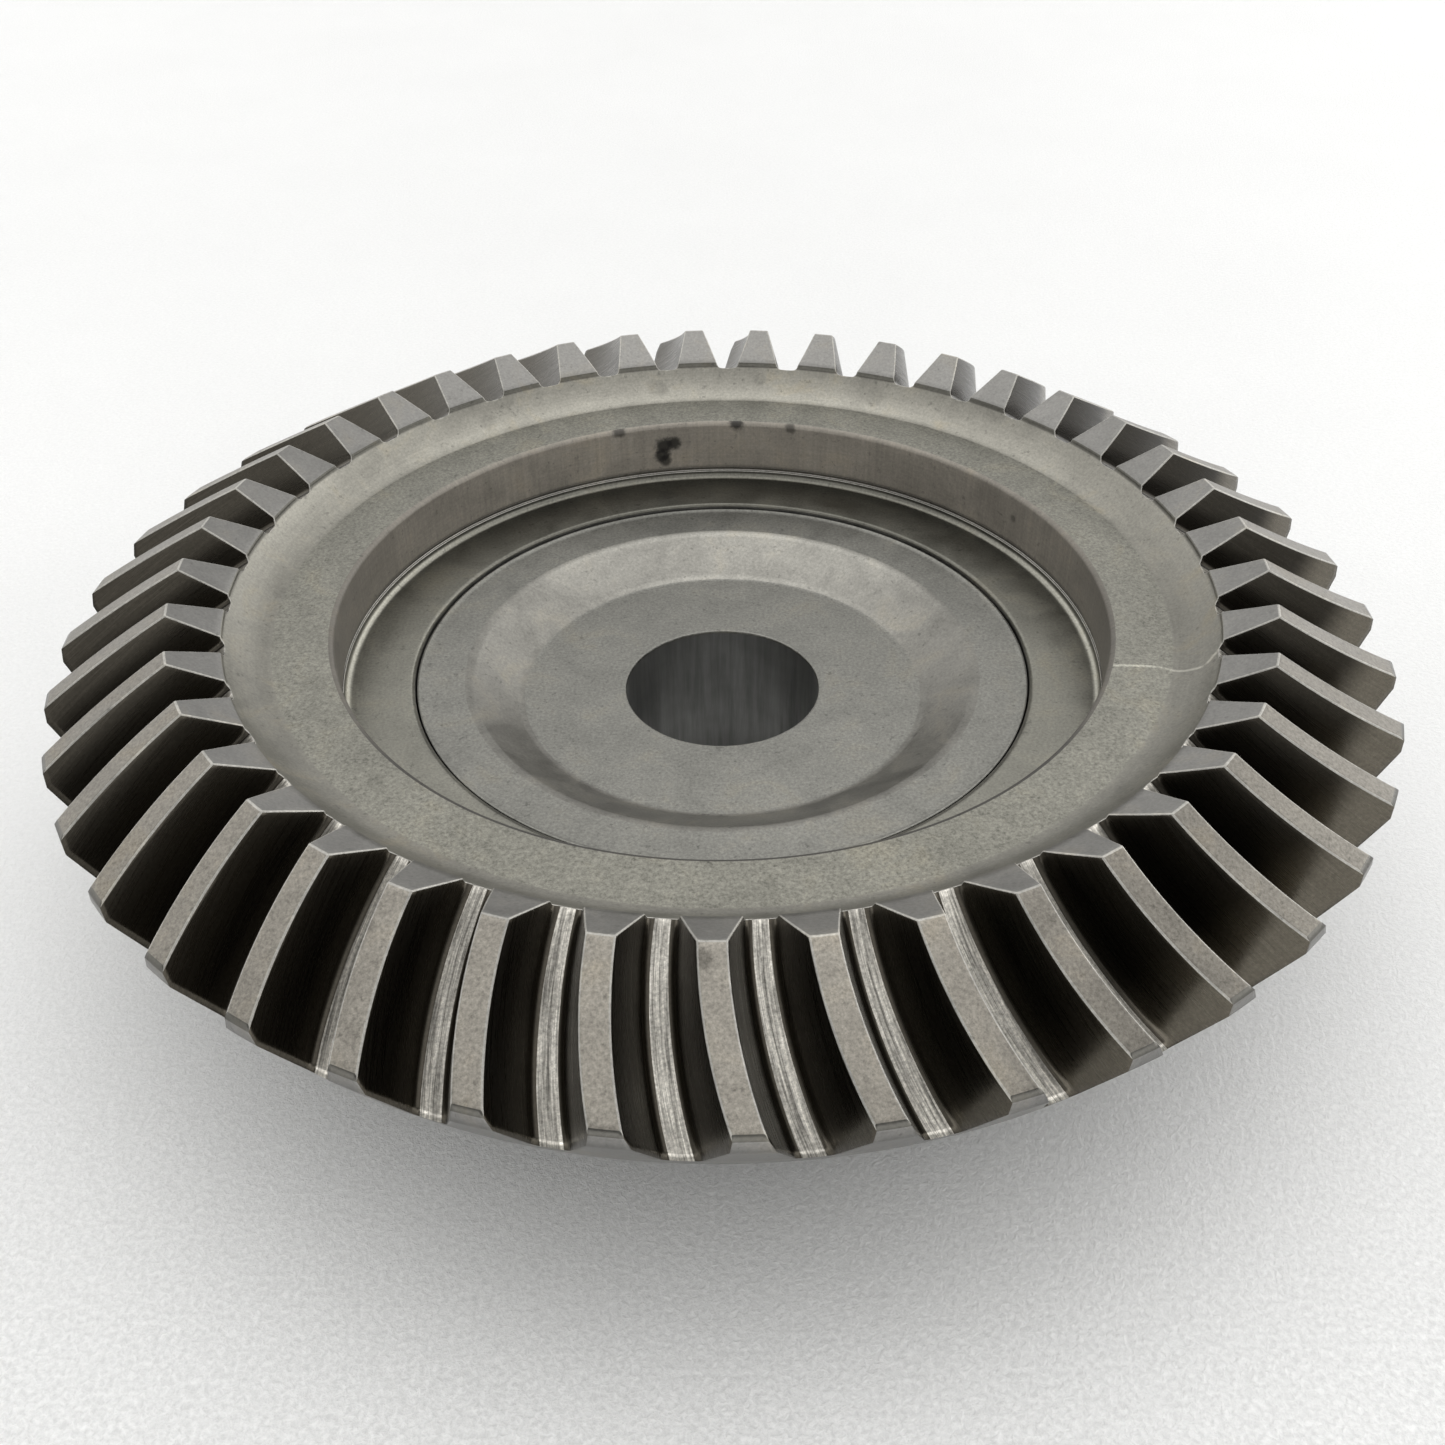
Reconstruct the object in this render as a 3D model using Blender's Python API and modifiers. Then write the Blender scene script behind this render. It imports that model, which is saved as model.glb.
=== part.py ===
"""Spiral bevel crown gear: toothed ring bolted and dowelled to a centre hub.

Units are metres, +Z is up.  The origin is on the gear axis, at the rear boss
face that the gear stands on, so the toothed face looks up.
"""
import math

import bmesh
import bpy

MM = 0.001
NAME = "spiral_bevel_crown_gear"

# Teeth
TOOTH_COUNT = 41
TOOTH_PITCH = 2.0 * math.pi / TOOTH_COUNT
FIRST_TOOTH_ANGLE = math.radians(-90.95)
PITCH_CONE = math.radians(58.63)
PITCH_HEEL_RADIUS = 102.5
FACE_WIDTH = 22.0
MEAN_SPIRAL = math.radians(10.0)
CUTTER_RADIUS = 70.0
ROOT_TWIST = math.radians(0.2)
SPACE_HALF_WIDTH_TOE = 1.82
SPACE_HALF_WIDTH_HEEL = 2.16
FLANK_SLOPE_TOE = 0.351
FLANK_SLOPE_HEEL = 0.379
ROOT_FILLET = 1.05
FILLET_STEPS = 2
SPACE_STATIONS = 6
SPACE_HEADROOM = 2.0
SPACE_RUN_IN = 0.22
SPACE_RUN_OUT = 0.42

# Toothed blank, radius and height in millimetres
TOE_R, TOE_Z = 84.6, 53.0
HEEL_R, HEEL_Z = 103.6, 42.25
CROWN_R, CROWN_TOP_Z, CROWN_LOW_Z = 104.2, 41.65, 39.8
RIM_REAR_R, RIM_REAR_Z = 98.5, 30.3
TOE_ROOT_R, TOE_ROOT_Z = 76.87, 48.37
HEEL_ROOT_R, HEEL_ROOT_Z = 99.95, 32.5
FACET_R, FACET_Z = 77.15, 49.48
SHOULDER_START_R = 70.6
SHOULDER_START_SLOPE = math.radians(16.0)
SHOULDER_END_R, SHOULDER_END_Z = 77.0, 48.6
SHOULDER_STEPS = 4
FRONT_FACE_Z = 44.46
RECESS_R = 61.2
RECESS_CHAMFER = 0.7
RECESS_FLOOR_Z = 32.85
RECESS_FILLET = 1.3
RING_BORE_R = 50.25
RING_LIP = 0.8
RING_BODY_R = 82.0
RING_REAR_Z = 23.0
RIM_REAR_FILLET = 3.0
EDGE_CHAMFER = 0.6
BLANK_STEPS = TOOTH_COUNT * 2
SHARP_ANGLE = math.radians(28.0)

# Hub
SPIGOT_R = 49.8
SPIGOT_CHAMFER = 0.5
HUB_FACE_Z = 32.0
DISH_TOP_R, DISH_LOW_R, DISH_Z = 41.2, 33.2, 27.2
DISH_EDGE = 1.2
BORE_R = 16.0
BORE_CHAMFER = 0.2
FLANGE_R = 80.0
FLANGE_FRONT_Z = 22.7
FLANGE_REAR_Z = 9.7
BOSS_R = 30.0
BOSS_FILLET = 2.0
HUB_STEPS = 72

# Fasteners
SCREW_COUNT = 12
FASTENER_CIRCLE_R = 69.0
SCREW_SHANK_R = 4.0
SCREW_HEAD_R = 6.5
SCREW_HEAD_CHAMFER = 0.5
SCREW_HEAD_LOW_Z = 10.2
SCREW_HEAD_TOP_Z = 18.2
SCREW_TIP_Z = 35.0
SCREW_TIP_CHAMFER = 0.8
SOCKET_ACROSS_FLATS = 6.0
SOCKET_DEPTH = 4.0
CLEARANCE = 0.3
COUNTERBORE_R = 7.0
COUNTERBORE_Z = 18.5
TAPPED_HOLE_Z = 36.0
DOWEL_COUNT = 2
DOWEL_R = 4.0
DOWEL_CHAMFER = 0.6
DOWEL_LOW_Z = 10.7
DOWEL_TOP_Z = 31.0
DOWEL_HOLE_Z = 32.0
HOLE_STEPS = 12
HOLE_RUN_OUT = 1.0


def clear_scene():
    """Start from an empty file."""
    for obj in list(bpy.data.objects):
        bpy.data.objects.remove(obj, do_unlink=True)


def new_collection(name):
    """Make a collection under the scene."""
    coll = bpy.data.collections.new(name)
    bpy.context.scene.collection.children.link(coll)
    return coll


def metal(name, colour, roughness, metallic):
    """Make a plain metal material."""
    mat = bpy.data.materials.new(name)
    mat.use_nodes = True
    shader = mat.node_tree.nodes["Principled BSDF"]
    shader.inputs["Base Color"].default_value = (*colour, 1.0)
    shader.inputs["Roughness"].default_value = roughness
    shader.inputs["Metallic"].default_value = metallic
    mat.diffuse_color = (*colour, 1.0)
    mat.roughness = roughness
    mat.metallic = metallic
    return mat


def placed(name, mesh, coll, spot=(0.0, 0.0), turn=0.0):
    """Put a mesh into a collection at a place, in millimetres, and a turn about Z."""
    obj = bpy.data.objects.new(name, mesh)
    obj.location = (spot[0] * MM, spot[1] * MM, 0.0)
    obj.rotation_euler[2] = turn
    coll.objects.link(obj)
    return obj


def turned(name, profile, steps, coll):
    """Turn a profile of (radius, height) points about the Z axis.

    A profile that starts and ends on the axis makes a plain solid of revolution;
    any other is closed on itself and makes a ring.
    """
    count = len(profile)
    edges = [(i, i + 1) for i in range(count - 1)]
    if profile[0][0] > 0.0:
        edges.append((count - 1, 0))
    mesh = bpy.data.meshes.new(name)
    mesh.from_pydata([(r * MM, 0.0, z * MM) for r, z in profile], edges, [])
    obj = placed(name, mesh, coll)
    mod = obj.modifiers.new("turning", "SCREW")
    mod.axis = "Z"
    mod.angle = 2.0 * math.pi
    mod.steps = steps
    mod.render_steps = steps
    mod.use_merge_vertices = True
    mod.merge_threshold = 0.00001
    mod.use_smooth_shade = False
    return obj


def cut(obj, cutters):
    """Cut every object of a collection out of one object."""
    mod = obj.modifiers.new("cuts", "BOOLEAN")
    mod.operation = "DIFFERENCE"
    mod.solver = "EXACT"
    mod.operand_type = "COLLECTION"
    mod.collection = cutters


def finish(obj, material):
    """Make the modelled shape the object's own mesh, smooth but for its machined edges."""
    bpy.context.view_layer.update()
    graph = bpy.context.evaluated_depsgraph_get()
    mesh = bpy.data.meshes.new_from_object(obj.evaluated_get(graph))
    mesh.name = obj.name
    obj.modifiers.clear()
    obj.data = mesh
    mesh.materials.clear()
    mesh.materials.append(material)
    mesh.shade_smooth()
    mesh.set_sharp_from_angle(angle=SHARP_ANGLE)


def arc(centre, radius, start, end, steps):
    """Points along an arc, both ends included, angles in degrees."""
    points = []
    for i in range(steps + 1):
        angle = math.radians(start + (end - start) * i / steps)
        points.append((centre[0] + radius * math.cos(angle), centre[1] + radius * math.sin(angle)))
    return points


def circle_spots(count, offset):
    """Places round the fastener circle."""
    spots = []
    for i in range(count):
        angle = offset + 2.0 * math.pi * i / count
        spots.append((FASTENER_CIRCLE_R * math.cos(angle), FASTENER_CIRCLE_R * math.sin(angle)))
    return spots


def screw_spots():
    """Places of the cap screws."""
    return circle_spots(SCREW_COUNT, 0.0)


def dowel_spots():
    """Places of the dowels, midway between screws and opposite each other."""
    return circle_spots(DOWEL_COUNT, math.pi / SCREW_COUNT)


def shoulder():
    """Concave turned shoulder from the front face up to the toe facet, inner end first."""
    run = SHOULDER_END_R - SHOULDER_START_R
    rise = SHOULDER_END_Z - FRONT_FACE_Z
    sweep = 2.0 * (math.atan2(rise, run) - SHOULDER_START_SLOPE)
    radius = math.hypot(run, rise) / (2.0 * math.sin(sweep / 2.0))
    across = SHOULDER_START_R - radius * math.sin(SHOULDER_START_SLOPE)
    above = FRONT_FACE_Z + radius * math.cos(SHOULDER_START_SLOPE)
    start = math.degrees(SHOULDER_START_SLOPE) - 90.0
    end = start + math.degrees(sweep)
    return arc((across, above), radius, start, end, SHOULDER_STEPS) + [(FACET_R, FACET_Z)]


def ring_profile():
    """Turned blank of the toothed ring, outer side top to bottom first."""
    edge = EDGE_CHAMFER
    points = [(TOE_R, TOE_Z), (HEEL_R, HEEL_Z), (CROWN_R, CROWN_TOP_Z), (CROWN_R, CROWN_LOW_Z)]
    points += [(RIM_REAR_R, RIM_REAR_Z)]
    corner = (RING_BODY_R + RIM_REAR_FILLET, RIM_REAR_Z - RIM_REAR_FILLET)
    points += arc(corner, RIM_REAR_FILLET, 90.0, 180.0, 2)
    points += [(RING_BODY_R, RING_REAR_Z + edge), (RING_BODY_R - edge, RING_REAR_Z)]
    points += [(RING_BORE_R + edge, RING_REAR_Z), (RING_BORE_R, RING_REAR_Z + edge)]
    points += [(RING_BORE_R, RECESS_FLOOR_Z - RING_LIP), (RING_BORE_R + RING_LIP, RECESS_FLOOR_Z)]
    corner = (RECESS_R - RECESS_FILLET, RECESS_FLOOR_Z + RECESS_FILLET)
    points += arc(corner, RECESS_FILLET, -90.0, 0.0, 2)
    points += [(RECESS_R, FRONT_FACE_Z - RECESS_CHAMFER), (RECESS_R + RECESS_CHAMFER, FRONT_FACE_Z)]
    return points + shoulder()


def hub_profile():
    """Turned hub, outer side top to bottom first, then back up the bore and across the dish."""
    edge = EDGE_CHAMFER
    points = [(SPIGOT_R - SPIGOT_CHAMFER, HUB_FACE_Z), (SPIGOT_R, HUB_FACE_Z - SPIGOT_CHAMFER)]
    points += [(SPIGOT_R, FLANGE_FRONT_Z)]
    points += [(FLANGE_R - edge, FLANGE_FRONT_Z), (FLANGE_R, FLANGE_FRONT_Z - edge)]
    points += [(FLANGE_R, FLANGE_REAR_Z + edge), (FLANGE_R - edge, FLANGE_REAR_Z)]
    corner = (BOSS_R + BOSS_FILLET, FLANGE_REAR_Z - BOSS_FILLET)
    points += arc(corner, BOSS_FILLET, 90.0, 180.0, 2)
    points += [(BOSS_R, edge), (BOSS_R - edge, 0.0)]
    points += [(BORE_R + BORE_CHAMFER, 0.0), (BORE_R, BORE_CHAMFER)]
    points += [(BORE_R, DISH_Z - BORE_CHAMFER), (BORE_R + BORE_CHAMFER, DISH_Z)]
    slope = math.atan2(HUB_FACE_Z - DISH_Z, DISH_TOP_R - DISH_LOW_R)
    rise = DISH_EDGE * math.sin(slope)
    run = DISH_EDGE * math.cos(slope)
    points += [(DISH_LOW_R - DISH_EDGE, DISH_Z), (DISH_LOW_R + run, DISH_Z + rise)]
    points += [(DISH_TOP_R - run, HUB_FACE_Z - rise), (DISH_TOP_R + DISH_EDGE, HUB_FACE_Z)]
    return points


def pitch_cone_distance():
    """Distance from the pitch apex to the heel."""
    return PITCH_HEEL_RADIUS / math.sin(PITCH_CONE)


def trace(along):
    """Turn of a tooth about the gear axis at one distance along the face from the toe.

    The tooth follows the circle that the face-mill cutter sweeps on the developed
    pitch cone; the turn is counter-clockwise going outward.
    """
    toe = pitch_cone_distance() - FACE_WIDTH
    mean = toe + FACE_WIDTH / 2.0
    reach = mean ** 2 + CUTTER_RADIUS ** 2 - 2.0 * mean * CUTTER_RADIUS * math.sin(MEAN_SPIRAL)
    reach = math.sqrt(reach)

    def polar(distance):
        top = distance ** 2 + reach ** 2 - CUTTER_RADIUS ** 2
        return math.acos(top / (2.0 * distance * reach))

    return (polar(toe) - polar(toe + along)) / math.sin(PITCH_CONE)


def along_face(radius, height):
    """Distance of a point along the face width, from the toe tip."""
    return (radius - TOE_R) * math.sin(PITCH_CONE) + (TOE_Z - height) * math.cos(PITCH_CONE)


def tooth_depth(radius, height):
    """Height of the tooth tip over a root point, square to the pitch cone."""
    slope = (TOE_Z - HEEL_Z) / (HEEL_R - TOE_R)
    level = TOE_Z - slope * (radius - TOE_R)
    return (level - height) / (math.sin(PITCH_CONE) + slope * math.cos(PITCH_CONE))


def space_side(share, depth):
    """One side of a tooth space from its floor up: (half width, height over the root).

    The share runs from 0 at the toe to 1 at the heel.
    """
    slope = FLANK_SLOPE_TOE + (FLANK_SLOPE_HEEL - FLANK_SLOPE_TOE) * share
    half = SPACE_HALF_WIDTH_TOE + (SPACE_HALF_WIDTH_HEEL - SPACE_HALF_WIDTH_TOE) * share
    lean = math.pi / 2.0 - math.atan(slope)
    floor = half - ROOT_FILLET * math.tan(lean / 2.0)
    points = []
    for i in range(FILLET_STEPS + 1):
        angle = lean * i / FILLET_STEPS
        points.append((floor + ROOT_FILLET * math.sin(angle), ROOT_FILLET * (1.0 - math.cos(angle))))
    points.append((half + slope * depth, depth))
    return points


def space_station(part):
    """Section of a tooth space at one share of the way from toe root to heel root."""
    radius = TOE_ROOT_R + (HEEL_ROOT_R - TOE_ROOT_R) * part
    height = TOE_ROOT_Z + (HEEL_ROOT_Z - TOE_ROOT_Z) * part
    along = along_face(radius, height)
    depth = tooth_depth(radius, height)
    side = space_side(along / FACE_WIDTH, depth + SPACE_HEADROOM)
    points = []
    for width, over in [(-w, q) for w, q in reversed(side)] + side:
        r = radius + over * math.cos(PITCH_CONE)
        z = height + over * math.sin(PITCH_CONE)
        angle = trace(along) - ROOT_TWIST * (1.0 - over / depth) + width / r
        points.append((r * math.cos(angle) * MM, r * math.sin(angle) * MM, z * MM))
    return points


def tooth_space_mesh():
    """One tooth space as a closed loft along the curved tooth, run out past both ends."""
    mesh = bmesh.new()
    loops = []
    for station in range(SPACE_STATIONS):
        share = station / (SPACE_STATIONS - 1)
        part = -SPACE_RUN_IN + (1.0 + SPACE_RUN_IN + SPACE_RUN_OUT) * share
        loops.append([mesh.verts.new(point) for point in space_station(part)])
    count = len(loops[0])
    for near, far in zip(loops, loops[1:]):
        for i in range(count):
            j = (i + 1) % count
            mesh.faces.new((near[i], near[j], far[j], far[i]))
    mesh.faces.new(loops[0])
    mesh.faces.new(loops[-1])
    bmesh.ops.triangulate(mesh, faces=mesh.faces[:])
    bmesh.ops.recalc_face_normals(mesh, faces=mesh.faces[:])
    data = bpy.data.meshes.new("tooth_space")
    mesh.to_mesh(data)
    mesh.free()
    return data


def hole_cutters(name, steps, spots, coll):
    """Round stepped hole cutters, one at each place; steps are (radius, low, high) upward."""
    profile = [(0.0, steps[-1][2])]
    for radius, low, high in reversed(steps):
        profile += [(radius, high), (radius, low)]
    profile.append((0.0, steps[0][1]))
    first = turned(name, profile, HOLE_STEPS, coll)
    first.location = (spots[0][0] * MM, spots[0][1] * MM, 0.0)
    for spot in spots[1:]:
        other = first.copy()
        other.location = (spot[0] * MM, spot[1] * MM, 0.0)
        coll.objects.link(other)


def build_ring(coll, cutters):
    """Toothed ring with its recess, inner flange and blind fastener holes."""
    space = tooth_space_mesh()
    for tooth in range(TOOTH_COUNT):
        turn = FIRST_TOOTH_ANGLE + (tooth + 0.5) * TOOTH_PITCH
        placed("tooth_space", space, cutters, turn=turn)
    low = RING_REAR_Z - HOLE_RUN_OUT
    tapped = [(SCREW_SHANK_R + CLEARANCE, low, TAPPED_HOLE_Z)]
    hole_cutters("tapped_hole", tapped, screw_spots(), cutters)
    pinned = [(DOWEL_R + CLEARANCE, low, DOWEL_HOLE_Z)]
    hole_cutters("blind_dowel_hole", pinned, dowel_spots(), cutters)
    ring = turned("crown_gear_ring", ring_profile(), BLANK_STEPS, coll)
    ring.rotation_euler[2] = FIRST_TOOTH_ANGLE
    cut(ring, cutters)
    finish(ring, metal("ground_gear_steel", (0.30, 0.29, 0.27), 0.42, 1.0))


def build_hub(coll, cutters):
    """Centre hub with counterbored screw holes and dowel holes in its flange."""
    low = FLANGE_REAR_Z - HOLE_RUN_OUT
    high = FLANGE_FRONT_Z + HOLE_RUN_OUT
    clear = SCREW_SHANK_R + CLEARANCE
    steps = [(COUNTERBORE_R, low, COUNTERBORE_Z), (clear, COUNTERBORE_Z, high)]
    hole_cutters("counterbored_hole", steps, screw_spots(), cutters)
    hole_cutters("dowel_hole", [(DOWEL_R + CLEARANCE, low, high)], dowel_spots(), cutters)
    hub = turned("centre_hub", hub_profile(), HUB_STEPS, coll)
    cut(hub, cutters)
    finish(hub, metal("turned_hub_steel", (0.27, 0.27, 0.26), 0.38, 1.0))


def build_screws(coll, cutters):
    """Socket-head cap screws, heads at the rear and shanks up into the ring."""
    bpy.ops.mesh.primitive_cylinder_add(
        vertices=6,
        radius=SOCKET_ACROSS_FLATS / math.sqrt(3.0) * MM,
        depth=2.0 * SOCKET_DEPTH * MM,
        location=(0.0, 0.0, SCREW_HEAD_LOW_Z * MM),
    )
    socket = bpy.context.object
    socket.name = "hexagon_socket"
    for home in list(socket.users_collection):
        home.objects.unlink(socket)
    cutters.objects.link(socket)
    chamfer = SCREW_HEAD_CHAMFER
    profile = [(0.0, SCREW_TIP_Z), (SCREW_SHANK_R - SCREW_TIP_CHAMFER, SCREW_TIP_Z)]
    profile += [(SCREW_SHANK_R, SCREW_TIP_Z - SCREW_TIP_CHAMFER), (SCREW_SHANK_R, SCREW_HEAD_TOP_Z)]
    profile += [(SCREW_HEAD_R, SCREW_HEAD_TOP_Z), (SCREW_HEAD_R, SCREW_HEAD_LOW_Z + chamfer)]
    profile += [(SCREW_HEAD_R - chamfer, SCREW_HEAD_LOW_Z), (0.0, SCREW_HEAD_LOW_Z)]
    spots = screw_spots()
    first = turned("cap_screw_01", profile, HOLE_STEPS, coll)
    cut(first, cutters)
    finish(first, metal("black_oxide_screw_steel", (0.035, 0.035, 0.04), 0.45, 0.9))
    first.location = (spots[0][0] * MM, spots[0][1] * MM, 0.0)
    for i, spot in enumerate(spots[1:]):
        placed("cap_screw_%02d" % (i + 2), first.data, coll, spot)


def build_dowels(coll):
    """Hardened dowel pins with chamfered ends."""
    small = DOWEL_R - DOWEL_CHAMFER
    profile = [(0.0, DOWEL_TOP_Z), (small, DOWEL_TOP_Z), (DOWEL_R, DOWEL_TOP_Z - DOWEL_CHAMFER)]
    profile += [(DOWEL_R, DOWEL_LOW_Z + DOWEL_CHAMFER), (small, DOWEL_LOW_Z), (0.0, DOWEL_LOW_Z)]
    spots = dowel_spots()
    first = turned("dowel_pin_1", profile, HOLE_STEPS, coll)
    finish(first, metal("ground_dowel_steel", (0.55, 0.55, 0.54), 0.25, 1.0))
    first.location = (spots[0][0] * MM, spots[0][1] * MM, 0.0)
    for i, spot in enumerate(spots[1:]):
        placed("dowel_pin_%d" % (i + 2), first.data, coll, spot)


def build():
    """Build the whole gear."""
    clear_scene()
    coll = new_collection(NAME)
    ring_cutters = new_collection("ring_cutters")
    hub_cutters = new_collection("hub_cutters")
    screw_cutters = new_collection("screw_cutters")
    build_ring(coll, ring_cutters)
    build_hub(coll, hub_cutters)
    build_screws(coll, screw_cutters)
    build_dowels(coll)
    for cutters in (ring_cutters, hub_cutters, screw_cutters):
        for obj in cutters.objects:
            obj.hide_render = True
            obj.display_type = "WIRE"


build()
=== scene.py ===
"""Looks of the spiral bevel crown gear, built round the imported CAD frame.

Lengths are written in millimetres and turned into metres where meshes and nodes are
made, except the table's size and the camera's place, which are in metres. +Z is the
gear axis, -Y is the side turned to the viewer, and the origin is on the axis at the
rear boss face.
"""

import math

import bmesh
import bpy
import numpy as np
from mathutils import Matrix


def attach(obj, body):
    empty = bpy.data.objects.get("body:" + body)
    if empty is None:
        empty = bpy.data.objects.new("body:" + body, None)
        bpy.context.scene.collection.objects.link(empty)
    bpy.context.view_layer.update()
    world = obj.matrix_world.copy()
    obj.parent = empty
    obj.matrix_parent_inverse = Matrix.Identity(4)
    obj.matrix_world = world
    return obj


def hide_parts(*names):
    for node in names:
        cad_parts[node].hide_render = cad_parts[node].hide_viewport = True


MM = 0.001
X, Y, Z = range(3)

# Teeth
TOOTH_COUNT = 41
PITCH_ANGLE = 2.0 * math.pi / TOOTH_COUNT
FIRST_TOOTH_ANGLE = math.radians(-90.95)
PITCH_CONE = math.radians(58.63)
PITCH_HEEL_RADIUS = 102.5
FACE_WIDTH = 22.0
MEAN_SPIRAL = math.radians(10.0)
CUTTER_RADIUS = 70.0
ROOT_TWIST = math.radians(0.2)
HALF_SPACE = (1.82, 2.16)
FLANK_SLOPE = (0.351, 0.379)
ROOT_FILLET = 1.05

# Steps of the tooth mesh: along the face, across the root floor, round the root
# fillet, across the land; up the toe facet, and up the back cone, crown and chamfer
STATIONS = 28
FLOOR_STEPS = 3
FILLET_STEPS = 6
LAND_STEPS = 8
FACET_STEPS = 7
BACK_STEPS, CROWN_STEPS = 5, 2

# Toothed ring, (radius, height)
TOE = (84.6, 53.0)
HEEL = (103.6, 42.25)
CROWN_TOP = (104.2, 41.65)
CROWN_LOW = (104.2, 39.8)
RIM_REAR = (98.5, 30.3)
TOE_ROOT = (76.87, 48.37)
HEEL_ROOT = (99.95, 32.5)
FACET = (77.15, 49.48)
SHOULDER_R = 70.6
SHOULDER_RUN_IN = (1.8, 0.1)
SHOULDER_END = (77.0, 48.85)
SHOULDER_END_SLOPE = 50.0
SHOULDER_PULL = 3.2
SHOULDER_STEPS = 24
FRONT_Z = 44.46
RECESS_R = 61.2
RECESS_ROUND = 0.8
RECESS_FILLET = 1.2
RELIEF, RELIEF_WIDTH, RELIEF_SLANT, RELIEF_LIFT = 0.3, 0.85, 0.15, 0.1
RECESS_Z = 32.85
RING_BORE_R = 50.15
RING_LIP = (0.9, 0.35)
RING_BODY_R = 82.0
RING_BODY_FILLET = 3.0
RING_REAR_Z = 23.0
EDGE = 0.6
EDGE_BREAK = 0.2
SOFT_SHARE = 0.45
SHARP_EDGE = math.radians(24.0)

# Hub, screws and dowels
SPIGOT_R = 49.85
SPIGOT_BEAD, BEAD_WIDTH, BEAD_RUN_IN, BEAD_EDGE = 0.3, 0.35, 0.75, 0.12
HUB_Z = 32.0
DISH_TOP_R, DISH_LOW_R, DISH_Z = 41.2, 33.2, 27.2
DISH_EDGE = 3.6
BORE_R = 16.0
BORE_CHAMFER = 0.2
FLANGE_R, FLANGE_FRONT_Z, FLANGE_REAR_Z = 80.0, 22.7, 9.7
BOSS_R, BOSS_FILLET = 30.0, 2.0
FASTENER_R = 69.0
SCREW_COUNT = 12
HOLE_R, COUNTERBORE_R, COUNTERBORE_Z = 4.3, 7.0, 18.5
TAPPED_HOLE_Z, DOWEL_HOLE_Z = 36.0, 32.0
DRILL_OVERLAP = 1.0

# Socket-head screw, standing on its head: radii, then heights upward
SCREW_HEAD_R, SCREW_SHANK_R, SOCKET_ACROSS_FLATS = 6.5, 4.0, 6.0
KNURL_DEPTH, THREAD_DEPTH, THREAD_PITCH = 0.16, 0.55, 1.25
SCREW_LOW_Z, SOCKET_FLOOR_Z, HEAD_TOP_Z = 10.2, 14.2, 18.2
THREAD_LOW_Z, THREAD_TOP_Z, SCREW_TOP_Z = 22.0, 34.0, 35.0
THREAD_STEPS, SCREW_SIDES = 8, 72

# Dowel pin
DOWEL_R, DOWEL_LOW_Z, DOWEL_TOP_Z = 4.0, 10.7, 31.0
DOWEL_LOW_ROUND, DOWEL_TOP_ROUND = 0.8, 0.6


def lerp(a, b, t):
    """Blend two values."""
    return a + (b - a) * t


def arc(centre, radius, start, end, steps):
    """Points along an arc in the meridian plane, angles in degrees."""
    points = []
    for i in range(steps + 1):
        a = math.radians(lerp(start, end, i / steps))
        points.append((centre[0] + radius * math.cos(a), centre[1] + radius * math.sin(a)))
    return points


def shoulder_curve():
    """Concave turned shoulder, from the front face up to the facet corner."""
    end = SHOULDER_END
    slope = math.radians(SHOULDER_END_SLOPE)
    near = (SHOULDER_R + SHOULDER_RUN_IN[0], FRONT_Z + SHOULDER_RUN_IN[1])
    far = (end[0] - SHOULDER_PULL * math.cos(slope), end[1] - SHOULDER_PULL * math.sin(slope))
    corners = ((SHOULDER_R, FRONT_Z), near, far, end)
    points = []
    for i in range(SHOULDER_STEPS + 1):
        t = i / SHOULDER_STEPS
        shares = ((1.0 - t) ** 3, 3.0 * t * (1.0 - t) ** 2, 3.0 * t * t * (1.0 - t), t ** 3)
        points.append(tuple(sum(w * c[k] for w, c in zip(shares, corners)) for k in (0, 1)))
    return points + [FACET]


# ---------------------------------------------------------------- tooth form

def trace(along):
    """Turn of the tooth about the axis at a distance along the face from the toe."""
    toe = PITCH_HEEL_RADIUS / math.sin(PITCH_CONE) - FACE_WIDTH
    mean = toe + FACE_WIDTH / 2.0
    reach = math.sqrt(
        mean ** 2 + CUTTER_RADIUS ** 2 - 2.0 * mean * CUTTER_RADIUS * math.sin(MEAN_SPIRAL)
    )

    def polar(d):
        return math.acos((d * d + reach ** 2 - CUTTER_RADIUS ** 2) / (2.0 * d * reach))

    return (polar(toe) - polar(toe + along)) / math.sin(PITCH_CONE)


def root_foot(r, z):
    """(share along the root line, height over it square to the pitch cone)."""
    dr, dz = HEEL_ROOT[0] - TOE_ROOT[0], HEEL_ROOT[1] - TOE_ROOT[1]
    nr, nz = math.cos(PITCH_CONE), math.sin(PITCH_CONE)
    er, ez = r - TOE_ROOT[0], z - TOE_ROOT[1]
    det = dr * nz - dz * nr
    return (er * nz - ez * nr) / det, (dr * ez - dz * er) / det


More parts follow.
